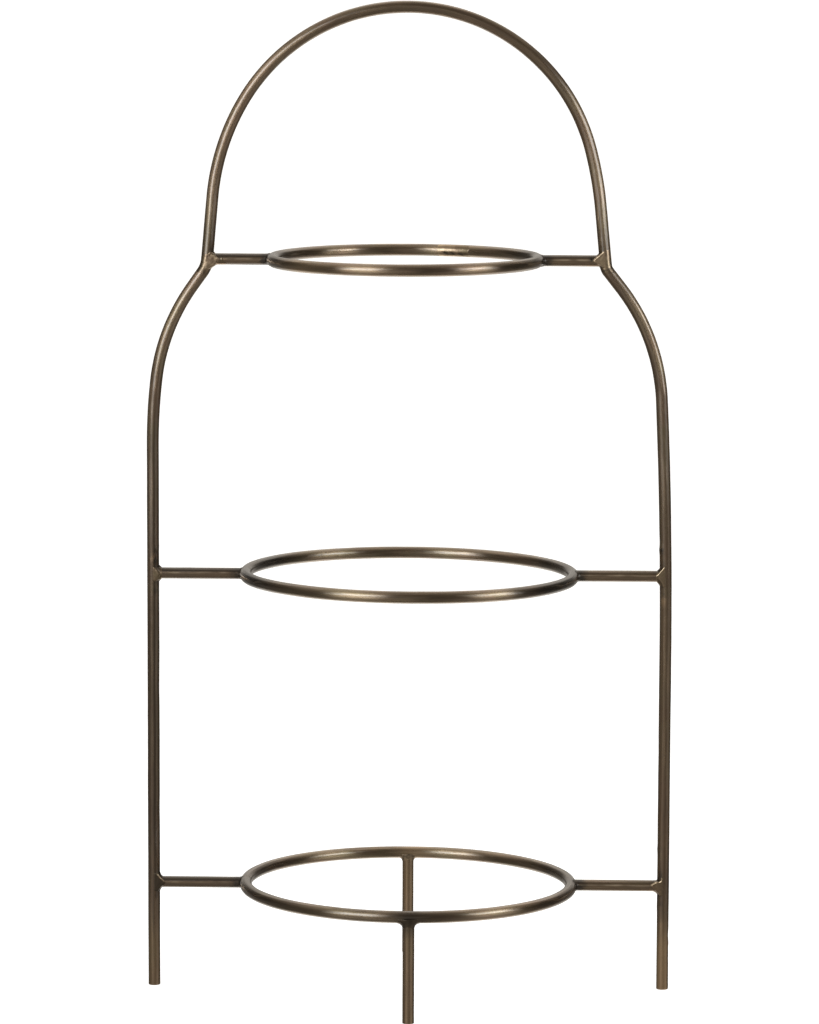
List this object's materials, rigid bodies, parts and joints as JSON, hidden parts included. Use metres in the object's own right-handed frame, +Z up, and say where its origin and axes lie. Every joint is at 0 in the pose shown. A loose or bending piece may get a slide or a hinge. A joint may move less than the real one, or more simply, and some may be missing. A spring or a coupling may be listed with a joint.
{
  "type": "tiered cake stand",
  "caption": "Free-standing round-bar cake stand: an arched frame with open rings stacked one above the other, each holding a plate by its rim, on rod feet.",
  "frame": {"origin": "on the floor, under the middle of the stand: midway between the two side rails and between the front and rear legs", "axes": "+Z up, +X to the right along the arch's plane, the front of the stand faces -Y"},
  "size_m": [0.26, 0.1686, 0.4909],
  "materials": {
    "antique_brass_frame": "satin",
    "antique_brass_ring": "satin",
    "antique_brass_tie_bar": "satin",
    "antique_brass_leg": "satin",
    "weld_metal": "satin"
  },
  "bodies": {
    "root": {"arch_handle": "antique_brass_frame", "leg_front": "antique_brass_leg", "leg_rear": "antique_brass_leg", "ring_bottom": "antique_brass_ring", "ring_middle": "antique_brass_ring", "ring_top": "antique_brass_ring", "side_rail_left": "antique_brass_frame", "side_rail_right": "antique_brass_frame", "tie_bar_bottom_left": "antique_brass_tie_bar", "tie_bar_bottom_right": "antique_brass_tie_bar", "tie_bar_middle_left": "antique_brass_tie_bar", "tie_bar_middle_right": "antique_brass_tie_bar", "tie_bar_top_left": "antique_brass_tie_bar", "tie_bar_top_right": "antique_brass_tie_bar", "weld_bottom_left_rail": "weld_metal", "weld_bottom_left_ring": "weld_metal", "weld_bottom_right_rail": "weld_metal", "weld_bottom_right_ring": "weld_metal", "weld_leg_front": "weld_metal", "weld_leg_rear": "weld_metal", "weld_middle_left_rail": "weld_metal", "weld_middle_left_ring": "weld_metal", "weld_middle_right_rail": "weld_metal", "weld_middle_right_ring": "weld_metal", "weld_ring_bottom_seam": "weld_metal", "weld_ring_middle_seam": "weld_metal", "weld_ring_top_seam": "weld_metal", "weld_shoulder_left": "weld_metal", "weld_shoulder_right": "weld_metal", "weld_top_left_ring": "weld_metal", "weld_top_right_ring": "weld_metal"}
  },
  "joints": []
}
